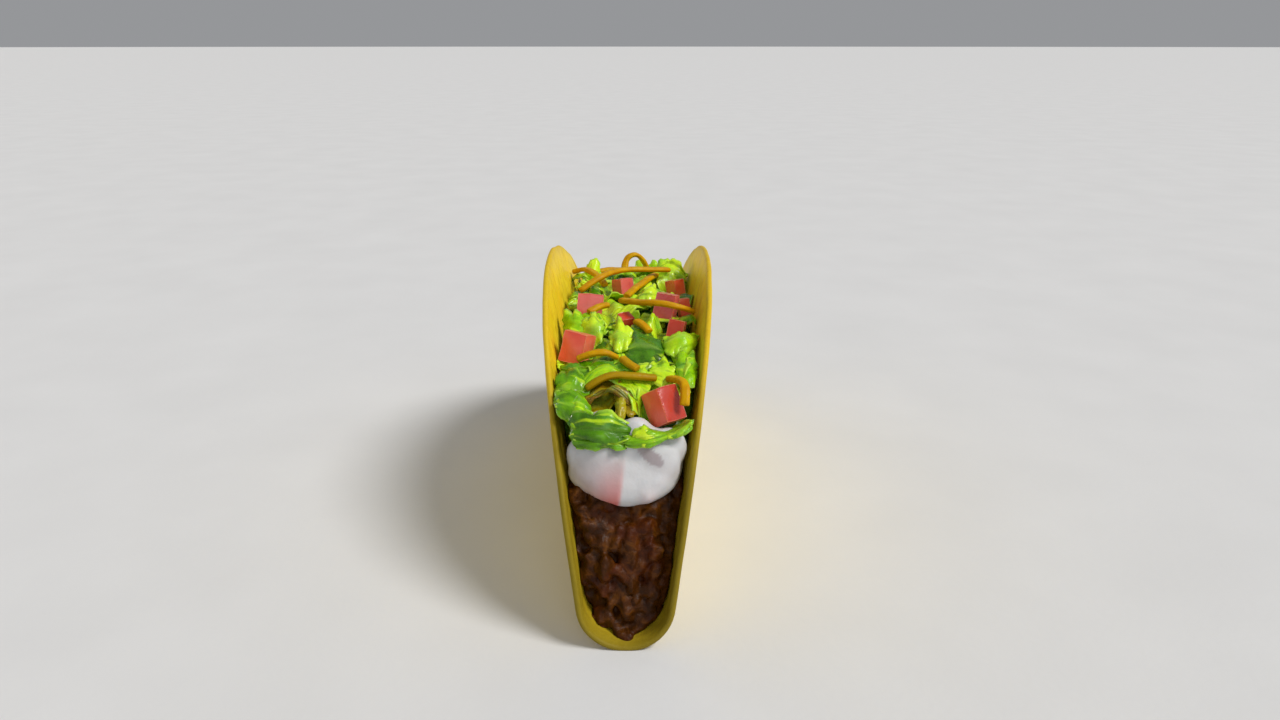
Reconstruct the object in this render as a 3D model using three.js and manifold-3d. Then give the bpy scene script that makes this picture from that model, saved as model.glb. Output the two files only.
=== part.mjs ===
// A crunchy taco: a fried corn tortilla folded round ground beef, sour cream, shredded lettuce,
// diced tomato and strands of cheese. Sizes are in millimetres. +Z is up, +X runs across the taco
// and +Y along its fold. The origin is under the middle of the fold, on the surface it stands on.

import * as THREE from 'three';
import { mergeVertices } from 'three/addons/utils/BufferGeometryUtils.js';
import Module from 'manifold-3d';

const wasm = await Module();
wasm.setup();

const { degToRad, lerp } = THREE.MathUtils;

// Air left between pieces that touch.
const GAP = 0.35;
// Slivers finer than this are cleaned off a solid that was joined from many.
const FINEST = 0.05;
const SEED = 20;

// The tortilla: a flat disc, folded along its middle and fried.
const TORTILLA = {
  radius: 75,
  thickness: 1.3,
  foldRadius: 10.55,         // outside of the rounded fold
  foldTurn: degToRad(81.8),  // how far each half turns within the fold
  rimTurn: degToRad(77.3),   // and how steep it is at the rim
  footDepth: 0.45,           // how much the fold is flattened underneath
  foldSteps: 8,
  wallSteps: 14,
  lengthSteps: 3,
};

// Ground beef: fills the fold, set back a little from the rim at both ends.
const BEEF = {
  top: 32,
  setback: 4.4,
  crumbsAnEnd: 32,
  crumbApart: 3.4,
  crumbRadius: [2.1, 3.5],
  crumbSink: 0.45,           // share of a crumb's radius that is pressed into the meat
};

// Sour cream: a long dollop on the beef, whose blunt ends bulge out at the ends of the fold.
const CREAM = {
  centre: new THREE.Vector3(0.5, 0, 35),
  halfLength: 63.4,
  halfWidth: 13.4,
  halfHeight: 7.2,
  bluntness: 18,
  squareness: 2.8,
  endDroop: 0.8,
  endLean: 0.5,              // how far the ends lean back for each millimetre up
  ridgeDepth: 0.08,
  ridgeX: -1.2,
};

// Lettuce: a bank of shreds over the cream, flat along the middle and rounded off at the ends.
const LETTUCE = {
  halfLength: 56.5,
  halfWidth: 18,
  floor: 38,
  height: 16.6,
  crown: 3,                  // how much higher it is in the middle than at the shell
  coreDepth: 4,
  bump: 0.6,
  alongSteps: 16,
  acrossSteps: 4,
  shredRows: 11,
  shredsAcross: 3,
  shredLength: [13, 20],
  shredWidth: [4.5, 7.5],
  shredThickness: 1,
};

// Tomato dice: middle, edge lengths, and turns about X, then Y, then Z, in degrees.
const TOMATOES = [
  { at: [8.2, -53, 46.3], size: [6.2, 6, 8.2], turns: [-34, 4, 42] },
  { at: [-11.5, -34.4, 53.1], size: [6.2, 5.6, 7.6], turns: [-18, 6, -26] },
  { at: [-9.9, -9, 56], size: [7, 5.6, 6.2], turns: [-16, 5, 2] },
  { at: [-1.5, 4, 56.7], size: [4.6, 4.6, 6], turns: [-18, 6, 36] },
  { at: [13, 10.6, 54.9], size: [4.2, 4.2, 5.6], turns: [-14, 0, 42] },
  { at: [9.6, -14.4, 57.2], size: [5.4, 4.8, 7], turns: [-14, 6, -18] },
  { at: [14.4, -9, 55], size: [3, 3.8, 5.6], turns: [-14, -4, 12] },
  { at: [11.8, -25, 54.2], size: [4.2, 3.8, 5.6], turns: [-16, 8, -14] },
  { at: [-0.8, -17, 54], size: [3.6, 3.4, 4], turns: [20, 0, 30] },
  { at: [-7.6, 45.6, 48.8], size: [6.8, 6.4, 6.4], turns: [-18, 0, 24] },
  { at: [6.8, 51, 45.6], size: [7.2, 6.8, 7], turns: [-14, 0, -33] },
];

// Cheese strands: the middle line of each, and their section, wide by thick, with bevelled sides.
const STRAND_SECTION = [1.9, 1.1];
const STRAND_FLAT = 0.66;    // share of the width that is flat
const STRAND_STEPS = 9;
const STRANDS = [
  [[-1.6, 21.8, 57.4], [-0.8, 24.2, 60.4], [1.3, 25.2, 61.5], [3.3, 26, 60.3], [5, 26.8, 57.2]],
  [[-16.2, 24.6, 56.4], [-13.4, 21, 58], [-10.4, 15, 58.6], [-8.2, 10, 58.2], [-6.6, 6.4, 57.2]],
  [[-12.9, -1, 57.6], [-8.2, 1.4, 60.4], [-2.5, 8, 61], [5.8, 12, 60.2], [11.2, 15.6, 59.2]],
  [[7.6, 17.5, 57.2], [5.4, 11, 57.8], [3.6, 4, 58.2], [1.4, -3.4, 58.6], [-0.4, -7.6, 58]],
  [[-1.8, -12.6, 58.4], [2.6, -17.5, 59.2], [7.8, -20.5, 59.9], [12.6, -20.8, 59], [16.2, -18.5, 57.2]],
  [[-9.6, -18, 56.8], [-7.4, -16.2, 57.6], [-5.2, -14.2, 57.6]],
  [[-11, -41, 52.8], [-8.3, -41.2, 54], [-6.2, -41.2, 54.4], [-4, -40.8, 54.1], [-2.3, -40, 52.8]],
  [[-0.9, -42, 53.2], [0.4, -44, 52.8], [2.4, -45.6, 52.1]],
  [[-8.6, -49.8, 49.2], [-6.3, -49.6, 50.8], [-3.4, -48.8, 51.8], [1.4, -48, 51.4], [6.4, -46.6, 50.4]],
  [[9.4, -46.5, 50.2], [10.9, -48.6, 50.8], [12.5, -51.9, 51.1], [12.6, -54.5, 49.7], [12.4, -55.8, 47.8]],
  [[2.2, -25, 56.6], [3.6, -27, 56.4], [5.2, -29, 55.4]],
  [[-13.4, 35, 51.8], [-8, 38, 53.6], [-1.4, 39.6, 53], [4.6, 38, 53.4], [10.4, 39.4, 51.4]],
  [[-12, 53.4, 43.6], [-7, 52, 47.6], [-2, 50.8, 49.2], [1.4, 46.4, 51]],
];

// ---------------------------------------------------------------- solids

function random(seed) {
  let state = seed >>> 0;
  return (low = 0, high = 1) => {
    state = (state + 0x6d2b79f5) >>> 0;
    let t = state;
    t = Math.imul(t ^ (t >>> 15), t | 1);
    t ^= t + Math.imul(t ^ (t >>> 7), t | 61);
    return low + (high - low) * (((t ^ (t >>> 14)) >>> 0) / 4294967296);
  };
}

function toSolid(geometry) {
  const bare = geometry.clone();
  bare.deleteAttribute('normal');
  bare.deleteAttribute('uv');
  const merged = mergeVertices(bare, 1e-4);
  return new wasm.Manifold(new wasm.Mesh({
    numProp: 3,
    vertProperties: new Float32Array(merged.attributes.position.array),
    triVerts: new Uint32Array(merged.index.array),
  }));
}

// The largest body of a solid, without loose scraps and sealed hollows.
function largestBody(solid) {
  const bodies = solid.simplify(FINEST).decompose();
  return bodies.reduce((best, body) => (body.volume() > best.volume() ? body : best));
}

function toMesh(name, solid, material) {
  const { vertProperties, triVerts } = solid.getMesh();
  const geometry = new THREE.BufferGeometry();
  geometry.setAttribute('position', new THREE.BufferAttribute(vertProperties, 3));
  geometry.setIndex(new THREE.BufferAttribute(triVerts, 1));
  geometry.computeVertexNormals();
  const mesh = new THREE.Mesh(geometry, material);
  mesh.name = name;
  return mesh;
}

// A closed body between two grids of points, grid[row][column], of the same shape. The upper
// grid is seen from outside with rows running up and columns running left. Both faces are
// split along the same diagonals. A row may shrink to one point.
function sheetSolid(upper, lower) {
  const points = [];
  const keys = new Map();
  const triangles = [];

  function index(point) {
    const key = point.toArray().map((value) => value.toFixed(4)).join();
    if (!keys.has(key)) {
      keys.set(key, points.length / 3);
      points.push(...point.toArray());
    }
    return keys.get(key);
  }

  function triangle(a, b, c) {
    const corners = [index(a), index(b), index(c)];
    if (new Set(corners).size === 3) triangles.push(...corners);
  }

  function quad(a, b, c, d) {
    triangle(a, b, c);
    triangle(a, c, d);
  }

  const rows = upper.length - 1;
  const columns = upper[0].length - 1;
  for (let i = 0; i < rows; i += 1) {
    for (let j = 0; j < columns; j += 1) {
      quad(upper[i][j], upper[i + 1][j], upper[i + 1][j + 1], upper[i][j + 1]);
      triangle(lower[i][j], lower[i + 1][j + 1], lower[i + 1][j]);
      triangle(lower[i][j], lower[i][j + 1], lower[i + 1][j + 1]);
    }
    quad(upper[i + 1][0], upper[i][0], lower[i][0], lower[i + 1][0]);
    quad(upper[i][columns], upper[i + 1][columns], lower[i + 1][columns], lower[i][columns]);
  }
  for (let j = 0; j < columns; j += 1) {
    quad(upper[0][j], upper[0][j + 1], lower[0][j + 1], lower[0][j]);
    quad(upper[rows][j + 1], upper[rows][j], lower[rows][j], lower[rows][j + 1]);
  }
  const geometry = new THREE.BufferGeometry();
  geometry.setAttribute('position', new THREE.BufferAttribute(new Float32Array(points), 3));
  geometry.setIndex(triangles);
  return toSolid(geometry);
}

// An outline of [x, z] points made into a bar along Y, from one y to another.
function barAlongY(outline, from, to) {
  const shape = new THREE.Shape(outline.map(([x, z]) => new THREE.Vector2(x, z)));
  const geometry = new THREE.ExtrudeGeometry(shape, { depth: to - from, bevelEnabled: false });
  geometry.rotateX(Math.PI / 2).translate(0, to, 0);
  return toSolid(geometry);
}

// An outline of [y, z] points made into a bar along X, from one x to another.
function barAlongX(outline, from, to) {
  const shape = new THREE.Shape(outline.map(([y, z]) => new THREE.Vector2(y, z)));
  const geometry = new THREE.ExtrudeGeometry(shape, { depth: to - from, bevelEnabled: false });
  geometry.rotateX(Math.PI / 2).rotateZ(Math.PI / 2).translate(from, 0, 0);
  return toSolid(geometry);
}

// ---------------------------------------------------------------- tortilla shell

const FOLD_ARC = TORTILLA.foldRadius * TORTILLA.foldTurn;

// The tortilla's section in the XZ plane at a distance along it from the fold line, positive
// towards +X: its steepness there, and the point lying `inset` inside the outer face.
function sectionPoint(arc, inset = 0) {
  const { radius, foldRadius, foldTurn, rimTurn, footDepth } = TORTILLA;
  const side = Math.sign(arc) || 1;
  const reach = Math.abs(arc);
  let turn = reach / foldRadius;
  let x = foldRadius * Math.sin(turn);
  let z = foldRadius * (1 - Math.cos(turn));
  if (reach > FOLD_ARC) {
    const bend = (rimTurn - foldTurn) / (radius - FOLD_ARC);
    turn = foldTurn + bend * (reach - FOLD_ARC);
    x = foldRadius * Math.sin(foldTurn) + (Math.sin(turn) - Math.sin(foldTurn)) / bend;
    z = foldRadius * (1 - Math.cos(foldTurn)) - (Math.cos(turn) - Math.cos(foldTurn)) / bend;
  }
  x -= inset * Math.sin(turn);
  z += inset * Math.cos(turn) - footDepth;
  return [side * x, inset > 0 ? z : Math.max(z, 0)];
}

// Distances along the section at which it is sampled: the flat foot, the fold, then the wall.
function sectionArcs() {
  const { radius, foldRadius, footDepth, foldSteps, wallSteps } = TORTILLA;
  const footArc = foldRadius * Math.acos(1 - footDepth / foldRadius);
  const half = [];
  for (let i = 0; i <= foldSteps; i += 1) half.push(lerp(footArc, FOLD_ARC, i / foldSteps));
  const start = Math.asin(FOLD_ARC / radius);
  for (let i = 1; i <= wallSteps; i += 1) {
    half.push(radius * Math.sin(lerp(start, Math.PI / 2, i / wallSteps)));
  }
  return [...half.map((arc) => -arc).reverse(), 0, ...half];
}

// The shell: each row of points is a chord of the disc, laid along the fold.
function shellSolid() {
  const { radius, thickness, lengthSteps } = TORTILLA;
  const face = (inset) => sectionArcs().map((arc) => {
    const halfChord = Math.sqrt(Math.max(radius ** 2 - arc ** 2, 0));
    const [x, z] = sectionPoint(arc, inset);
    return Array.from({ length: lengthSteps + 1 }, (_, j) => (
      new THREE.Vector3(x, lerp(-halfChord, halfChord, j / lengthSteps), z)
    ));
  });
  return sheetSolid(face(thickness), face(0));
}

// What lies between the shell's walls, as far as the fillings may reach.
function cavitySolid() {
  const { thickness } = TORTILLA;
  const outline = sectionArcs().map((arc) => sectionPoint(arc, thickness + GAP));
  return barAlongY(outline, -TORTILLA.radius, TORTILLA.radius);
}

// ---------------------------------------------------------------- sour cream

// A long blunt blob with a soft ridge down each end.
function creamSolid(grow = 0) {
  const { centre, halfLength, halfWidth, halfHeight } = CREAM;
  const { bluntness, squareness, endDroop, endLean, ridgeDepth, ridgeX } = CREAM;
  const geometry = new THREE.SphereGeometry(1, 26, 20);
  const position = geometry.attributes.position;
  const point = new THREE.Vector3();
  for (let i = 0; i < position.count; i += 1) {
    point.fromBufferAttribute(position, i);
    const ring = Math.hypot(point.x, point.z);
    const along = point.y;
    const size = Math.max(1 - Math.abs(along) ** bluntness, 0) ** (1 / squareness);
    const across = ring > 1e-6 ? point.x / ring : 0;
    const up = ring > 1e-6 ? point.z / ring : 0;
    const square = (Math.abs(across) ** squareness + Math.abs(up) ** squareness) ** (-1 / squareness);
    const radial = ring > 1e-6 ? size * square : 0;
    const x = radial * across * (halfWidth + grow);
    const ridge = 1 + ridgeDepth * Math.exp(-(((x - ridgeX) / 5) ** 2)) * Math.max(-up, 0);
    const z = radial * up * ridge * (halfHeight + grow);
    const y = along * (halfLength + grow - endLean * z);
    position.setXYZ(i, centre.x + x, centre.y + y, centre.z + z - endDroop * along ** 6);
  }
  return toSolid(geometry);
}

// ---------------------------------------------------------------- ground beef

// How far from the middle the meat reaches at a distance up the section.
function beefReach(arc) {
  return Math.sqrt((TORTILLA.radius - BEEF.setback) ** 2 - arc ** 2);
}

// The distance up the section at which a height is reached.
function arcAtHeight(height) {
  let low = 0;
  let high = TORTILLA.radius;
  for (let i = 0; i < 40; i += 1) {
    const middle = (low + high) / 2;
    if (sectionPoint(middle)[1] < height) low = middle;
    else high = middle;
  }
  return low;
}

function beefBody() {
  const topArc = arcAtHeight(BEEF.top);
  const steps = 6;
  const near = Array.from({ length: steps + 1 }, (_, i) => {
    const arc = (topArc * i) / steps;
    return [-beefReach(arc), sectionPoint(arc)[1]];
  });
  const far = near.map(([y, z]) => [-y, z]).reverse();
  return barAlongX([...near, ...far], -TORTILLA.radius, TORTILLA.radius);
}

// A lump of cooked mince: an uneven twenty-sided pebble.
function crumbSolid(centre, radius, rand) {
  const pebble = new THREE.IcosahedronGeometry(radius, 0);
  pebble.deleteAttribute('normal');
  pebble.deleteAttribute('uv');
  const geometry = mergeVertices(pebble, 1e-4);
  const position = geometry.attributes.position;
  for (let i = 0; i < position.count; i += 1) {
    const scale = rand(0.8, 1.2);
    position.setXYZ(i, position.getX(i) * scale, position.getY(i) * scale, position.getZ(i) * scale);
  }
  geometry.scale(rand(0.8, 1.35), rand(0.8, 1.1), rand(0.7, 1));
  geometry.rotateY(rand(0, Math.PI)).rotateZ(rand(0, Math.PI));
  return toSolid(geometry.translate(...centre));
}

// Crumbs spread over one end face of the meat, kept apart from each other.
function endCrumbs(end, rand) {
  const places = [];
  const topArc = arcAtHeight(BEEF.top);
  for (let tries = 0; tries < 4000 && places.length < BEEF.crumbsAnEnd; tries += 1) {
    const arc = rand(1, topArc);
    const [wallX, z] = sectionPoint(arc, TORTILLA.thickness + GAP);
    const place = new THREE.Vector3(rand(-wallX, wallX), end * beefReach(arc), z);
    if (places.every((other) => other.distanceTo(place) > BEEF.crumbApart)) places.push(place);
  }
  return places.map((place) => {
    const radius = rand(...BEEF.crumbRadius);
    const out = radius * (1 - 2 * BEEF.crumbSink);
    return crumbSolid([place.x, place.y + end * out, place.z], radius, rand);
  });
}

function beefSolid(cavity, cream) {
  const rand = random(SEED);
  const crumbs = [...endCrumbs(-1, rand), ...endCrumbs(1, rand)];
  const whole = crumbs.reduce((solid, crumb) => solid.add(crumb), beefBody());
  return largestBody(whole.intersect(cavity).subtract(cream));
}

// ---------------------------------------------------------------- lettuce

// A point on the bare bank of lettuce: `turn` runs from 0 at the near foot over the top to PI.
function bankPoint(turn, x) {
  const { halfLength, halfWidth, floor, height, crown } = LETTUCE;
  const rise = Math.max(Math.sin(turn), 0) * (height - crown * (x / halfWidth) ** 2);
  return new THREE.Vector3(x, -halfLength * Math.cos(turn), floor + rise);
}

function lettuceCore(rand) {
  const { alongSteps, acrossSteps, halfWidth, coreDepth, bump } = LETTUCE;
  const top = [];
  const bottom = [];
  for (let i = 0; i <= alongSteps; i += 1) {
    const turn = (Math.PI * i) / alongSteps;
    const row = Array.from({ length: acrossSteps + 1 }, (_, j) => (
      bankPoint(turn, lerp(halfWidth, -halfWidth, j / acrossSteps))
    ));
    bottom.push(row.map(({ x, y }) => new THREE.Vector3(x, y, LETTUCE.floor - coreDepth)));
    top.push(row.map(({ x, y, z }) => new THREE.Vector3(x, y, z + rand(-bump, bump))));
  }
  return sheetSolid(top, bottom);
}

// A shred: a thin strip, arched along its length, with ruffled edges.
function shredSolid(shape) {
  const rows = 4;
  const columns = 2;
  const { length, width, arch, ruffle, turn } = shape;
  const grid = (offset) => Array.from({ length: rows + 1 }, (_, i) => {
    const along = i / rows - 0.5;
    const taper = 1 - 0.55 * Math.abs(2 * along) ** 3;
    return Array.from({ length: columns + 1 }, (__, j) => {
      const across = j / columns - 0.5;
      const frill = ruffle * (i % 2 ? 1 : -1) * Math.abs(2 * across);
      const z = arch * (1 - 4 * along ** 2) + frill + offset;
      return new THREE.Vector3(along * length, across * width * taper, z).applyEuler(turn).add(shape.at);
    });
  });
  const half = LETTUCE.shredThickness / 2;
  return sheetSolid(grid(half), grid(-half));
}

// Shreds over the bank in staggered rows, turned and tilted every way.
function shreds(rand) {
  const { shredRows, shredsAcross, shredLength, shredWidth } = LETTUCE;
  const solids = [];
  for (let i = 0; i < shredRows; i += 1) {
    const turn = lerp(0.1, Math.PI - 0.1, i / (shredRows - 1));
    for (let j = 0; j < shredsAcross; j += 1) {
      const x = lerp(-11.5, 11.5, j / (shredsAcross - 1)) + rand(-2, 2);
      const at = bankPoint(turn + rand(-0.05, 0.05), x);
      const ahead = bankPoint(turn + 0.1, x).sub(bankPoint(turn - 0.1, x));
      const pitch = Math.atan2(ahead.z, ahead.y);
      at.z += rand(0.2, 1.5);
      solids.push(shredSolid({
        at,
        turn: new THREE.Euler(pitch * 0.8 + rand(-0.35, 0.35), rand(-0.45, 0.45), rand(0, Math.PI), 'XYZ'),
        length: rand(...shredLength),
        width: rand(...shredWidth),
        arch: rand(1, 3),
        ruffle: rand(0.4, 1.1),
      }));
    }
  }
  return solids;
}

function lettuceSolid(cavity, cream, toppings) {
  const rand = random(SEED + 1);
  let whole = lettuceCore(rand);
  for (const shred of shreds(rand)) whole = whole.add(shred);
  whole = whole.intersect(cavity).subtract(cream);
  for (const topping of toppings) whole = whole.subtract(topping);
  return largestBody(whole);
}

// ---------------------------------------------------------------- toppings

// A die of tomato with slightly swollen faces.
function tomatoSolid({ at, size, turns }, grow = 0) {
  const swell = 0.04;
  const [aboutX, aboutY, aboutZ] = turns.map(degToRad);
  const [wide, deep, high] = size.map((edge) => edge / (1 + swell) + 2 * grow);
  const geometry = new THREE.BoxGeometry(wide, deep, high, 2, 2, 2);
  const position = geometry.attributes.position;
  for (let i = 0; i < position.count; i += 1) {
    const point = new THREE.Vector3().fromBufferAttribute(position, i);
    const centred = [point.x / wide, point.y / deep, point.z / high];
    const onEdges = centred.filter((value) => Math.abs(value) > 0.49).length;
    const scale = 1 + swell * (3 - onEdges) * 0.5;
    position.setXYZ(i, point.x * scale, point.y * scale, point.z * scale);
  }
  geometry.rotateX(aboutX).rotateY(aboutY).rotateZ(aboutZ).translate(...at);
  return toSolid(geometry);
}

// A smooth middle line along which a section keeps its width level.
class LevelCurve extends THREE.CatmullRomCurve3 {
  computeFrenetFrames(segments) {
    const up = new THREE.Vector3(0, 0, 1);
    const tangents = Array.from({ length: segments + 1 }, (_, i) => this.getTangentAt(i / segments));
    const normals = tangents.map((tangent) => tangent.clone().cross(up).normalize());
    const binormals = tangents.map((tangent, i) => tangent.clone().cross(normals[i]));
    return { tangents, normals, binormals };
  }
}

// A grated strand: a flat bevelled section, lying level along its middle line.
function strandSolid(route, grow = 0) {
  const points = route.map((point) => new THREE.Vector3(...point));
  const lengthen = (end, before) => end.add(end.clone().sub(before).setLength(grow));
  lengthen(points[0], points[1]);
  lengthen(points.at(-1), points.at(-2));
  const [wide, thick] = STRAND_SECTION.map((edge) => edge / 2 + grow);
  const half = [[wide, 0], [STRAND_FLAT * wide, thick], [-STRAND_FLAT * wide, thick]];
  const outline = [...half, ...half.map(([x, y]) => [-x, -y])];
  const section = new THREE.Shape(outline.map(([x, y]) => new THREE.Vector2(x, y)));
  return toSolid(new THREE.ExtrudeGeometry(section, {
    steps: STRAND_STEPS,
    extrudePath: new LevelCurve(points),
  }));
}

// ---------------------------------------------------------------- the taco

function material(color, roughness) {
  return new THREE.MeshStandardMaterial({ color, roughness, metalness: 0, flatShading: true });
}

function buildTaco() {
  const cavity = cavitySolid();
  const grownCream = creamSolid(GAP);
  const grownToppings = [
    ...TOMATOES.map((die) => tomatoSolid(die, GAP)),
    ...STRANDS.map((route) => strandSolid(route, GAP)),
  ];
  const tomatoRed = material(0xd8452f, 0.3);
  const cheeseOrange = material(0xe08a12, 0.45);

  const taco = new THREE.Group();
  taco.add(toMesh('shell', shellSolid(), material(0xe3b93a, 0.55)));
  taco.add(toMesh('beef', beefSolid(cavity, grownCream), material(0x4a2410, 0.4)));
  taco.add(toMesh('sour_cream', largestBody(creamSolid().intersect(cavity)), material(0xf4f0ea, 0.3)));
  const lettuce = lettuceSolid(cavity, grownCream, grownToppings);
  taco.add(toMesh('lettuce', lettuce, material(0x7cb518, 0.45)));
  TOMATOES.forEach((die, i) => {
    taco.add(toMesh(`tomato_${i + 1}`, tomatoSolid(die), tomatoRed));
  });
  STRANDS.forEach((route, i) => {
    taco.add(toMesh(`cheese_${i + 1}`, strandSolid(route), cheeseOrange));
  });
  return taco;
}

export default buildTaco();
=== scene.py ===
"""A crunchy taco seen end-on: a fried corn shell round ground beef, sour cream, lettuce, diced
tomato and strands of cheese. Pieces are modelled in millimetres and turned into metres when
their mesh is made. +Z is up, +X runs across the taco and +Y along its fold, away from the
camera. Colours are given as sRGB values from 0 to 255."""

import itertools
import math

import bmesh
import bpy
import numpy as np
from mathutils import Euler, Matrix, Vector


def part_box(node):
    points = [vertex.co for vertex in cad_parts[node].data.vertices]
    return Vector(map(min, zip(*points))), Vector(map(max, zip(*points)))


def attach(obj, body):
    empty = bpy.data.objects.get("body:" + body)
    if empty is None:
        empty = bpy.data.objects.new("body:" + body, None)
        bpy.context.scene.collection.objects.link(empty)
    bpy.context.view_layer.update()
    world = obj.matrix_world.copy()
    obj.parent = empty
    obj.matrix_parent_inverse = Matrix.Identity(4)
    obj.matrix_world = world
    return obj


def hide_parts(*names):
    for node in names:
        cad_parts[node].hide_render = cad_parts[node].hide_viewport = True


MM = 0.001
SEED = 5

# ---- sizes, in millimetres

# The shell: a flat disc, folded along its middle.
RADIUS = 75.0
THICKNESS = 1.3
FOLD_RADIUS = 10.55  # outside of the rounded fold
FOLD_TURN = math.radians(81.8)  # how far each half turns within the fold
RIM_TURN = math.radians(77.3)  # how steep the walls are at the rim
FOOT_DEPTH = 0.45  # how much the fold is flattened underneath
FOLD_ARC = FOLD_RADIUS * FOLD_TURN

# The shell's mesh, the band round its rim, and its relief.
SHELL_COLUMNS = 360
SHELL_ROWS = 76
RIM_WIDTH = 3
RAGGEDNESS = 0.004  # of the radius
SWELL = 0.16
BLISTER = 0.22
# The painted shade on the lower corners at the ends, darker towards the bottom: how high it reaches, and
# how far from the disc's middle it starts.
SHADE_TOP = 54
SHADE_FADE = 22
SHADE_START = 58
SHADE_SPREAD = 14
OUTSIDE_SHADE = 0.4  # how much of it shows on the outer faces

BEEF_TOP = 30.0
BEEF_SETBACK = 4.2
BEEF_GAP = 0.2  # between the meat's body and the shell
BEEF_COVER = 2.6  # how far the body stays behind the lumps
BEEF_VOXEL = 0.43
CRUMB_TRIES = 9000
CRUMB_SPACING = 0.62  # of the two lumps' radii
CRUMB_RADIUS = (1.4, 3.6)

CREAM_CENTRE = np.array([0.5, 0.0, 35.0])
CREAM_HALF = np.array([13.2, 63.6, 7.2])
CREAM_BLUNTNESS = 18
CREAM_SQUARENESS = 2.8
CREAM_DROOP = 0.8
CREAM_LEAN = 0.5
CREAM_RIGHT = 0.93  # how wide its right half is, next to its left
CREAM_VOXEL = 0.5
KEEL_X = -0.9  # the sharp fold down the front of the cream
KEEL_DEPTH = 3.4

BANK_HALF_LENGTH = 56.5
BANK_HALF_WIDTH = 18.0
BANK_FLOOR = 38.0
BANK_HEIGHT = 16.6
BANK_CROWN = 3.0  # how much higher the bank is in the middle than at the shell
BANK_DEPTH = 2.0
LEAF_COUNT = 150
LEAF_ROWS = 19
LEAF_COLUMNS = 9
LEAF_THICKNESS = 0.35
LEAF_GAP = 0.3  # between the leaves and the shell
SCATTER_HALF_WIDTH = 13.5

DICE = range(1, 12)
STRANDS = range(1, 14)
DIE_REACH = 4.6  # radius that the leaves leave free round a die's middle
STRAND_REACH = 1.5
REACH_FADE = 2.2  # how far outside that radius leaves are still pressed down
NEARBY = 16  # toppings further from a leaf than this leave it as it is
SECTION_REACH = 2.2  # takes in the corners of one section of a strand, and no others
SUBDIVISIONS = 2
CREASE_ANGLE = 0.8  # edges that turn more than this are kept crisp

# The camera of the photograph: its place in metres, and its angles in degrees.
CAMERA_PLACE = (0.003026, -0.225064, 0.119511)
CAMERA_TILT = 70
VIEW_ANGLE = 45  # from the top to the bottom of the picture
PICTURE = (1280, 720)
SENSOR_WIDTH = 36.0
FLOOR_RADIUS = 40  # in metres, so that the floor reaches the horizon


# ---- noise and small helpers

# Primes and rounds of a whole-number hash, which keeps 32 bits.
CELL_PRIMES = (73856093, 19349663, 83492791)
HASH_ROUNDS = ((16, 0x45D9F3B), (15, 0x2C1B3C6D), (16, 0x297A2D39))
LAST_BITS = 0xFFFFFFFF


def hashed(cells, seed):
    """A value from 0 to 1 for each whole-numbered cell."""
    x, y, z = (cells[:, i].astype(np.uint64) * np.uint64(CELL_PRIMES[i]) for i in range(3))
    mixed = (x ^ y ^ z ^ np.uint64(seed * 7919 + 17)) & np.uint64(LAST_BITS)
    for shift, factor in HASH_ROUNDS:
        mixed = ((mixed ^ (mixed >> np.uint64(shift))) * np.uint64(factor)) & np.uint64(LAST_BITS)
    return mixed.astype(float) / LAST_BITS


def lumps(points, size, seed):
    """Smooth noise from -1 to 1, whose lumps are about `size` across."""
    scaled = np.asarray(points, float) / size + 1000.0
    cell = np.floor(scaled)
    share = scaled - cell
    share = share * share * (3 - 2 * share)
    total = np.zeros(len(scaled))
    for corner in itertools.product((0, 1), repeat=3):
        weight = np.prod(np.where(np.array(corner) == 1, share, 1 - share), axis=1)
        total += weight * hashed(cell + corner, seed)
    return 2 * total - 1


def rough(points, size, seed, octaves=3):
    """Noise with finer lumps on the lumps."""
    return sum(lumps(points, size / 2 ** i, seed + i) / 2 ** i for i in range(octaves))


def fade(value, start, length):
    """0 to 1 as the value goes from `start` on by `length`, which is negative where it goes down."""
    return np.clip((value - start) / length, 0, 1)


def srgb(red, green, blue):
    """A linear colour with alpha from sRGB values of 0 to 255."""
    def linear(value):
        value /= 255
        return value / 12.92 if value <= 0.04045 else ((value + 0.055) / 1.055) ** 2.4
    return (linear(red), linear(green), linear(blue), 1.0)


def spread(rng, count):
    """Pairs of values from 0 to 1, spread evenly with a little jitter."""
    index = np.arange(count)[:, None] + 0.5
    steps = np.array([0.7548776662, 0.5698402910])
    return (index * steps + rng.uniform(-0.02, 0.02, (count, 2))) % 1.0


# ---- meshes

def grid_faces(rows, columns, closed=False, first=0, flip=False):
    """Four-sided faces over a grid of points, row by row. A closed grid joins its last column to
    its first."""
    across = columns if closed else columns - 1
    i, j = np.meshgrid(np.arange(rows - 1), np.arange(across), indexing="ij")
    after = (j + 1) % columns
    corners = [i * columns + j, (i + 1) * columns + j, (i + 1) * columns + after, i * columns + after]
    faces = np.stack(corners, -1).reshape(-1, 4) + first
    return faces[:, ::-1] if flip else faces


def mesh_of(name, points, faces):
    """A mesh with those points and faces."""
    mesh = bpy.data.meshes.new(name)
    mesh.from_pydata(points.tolist(), [], [list(map(int, face)) for face in faces])
    return mesh


def placed(name, data):
    """A new object of that data, in the scene."""
    thing = bpy.data.objects.new(name, data)
    bpy.context.scene.collection.objects.link(thing)
    return thing


def evaluated(source):
    """The points and faces of an object after its modifiers. The object is removed."""
    result = source.evaluated_get(bpy.context.evaluated_depsgraph_get()).data
    points = np.array([vertex.co[:] for vertex in result.vertices])
    faces = [list(face.vertices) for face in result.polygons]
    mesh = source.data
    bpy.data.objects.remove(source)
    bpy.data.meshes.remove(mesh)
    return points, faces


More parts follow.
